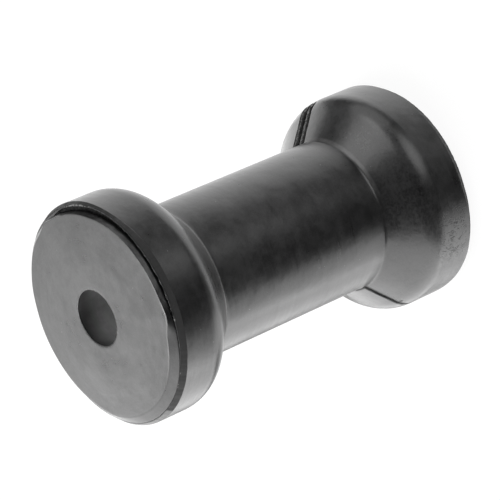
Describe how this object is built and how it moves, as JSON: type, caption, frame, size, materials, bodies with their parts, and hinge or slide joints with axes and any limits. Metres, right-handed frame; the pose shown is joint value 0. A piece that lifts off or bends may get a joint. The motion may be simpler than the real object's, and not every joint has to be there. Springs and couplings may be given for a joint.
{
  "type": "spool roller",
  "caption": "Moulded rubber spool roller with a straight waist between two sloped flanges and a plain shaft bore.",
  "frame": {"origin": "on the bore axis, in the plane of the lower end face that the roller stands on", "axes": "+Z along the bore axis towards the upper end face; X lies in the mould's parting plane, through both seams; Y is square to it"},
  "size_m": [0.076, 0.076, 0.1342],
  "materials": {
    "rubber": "black moulded rubber, satin, with a smoother cut band round each rim"
  },
  "bodies": {
    "root": {"spool_roller": "rubber"}
  },
  "joints": []
}
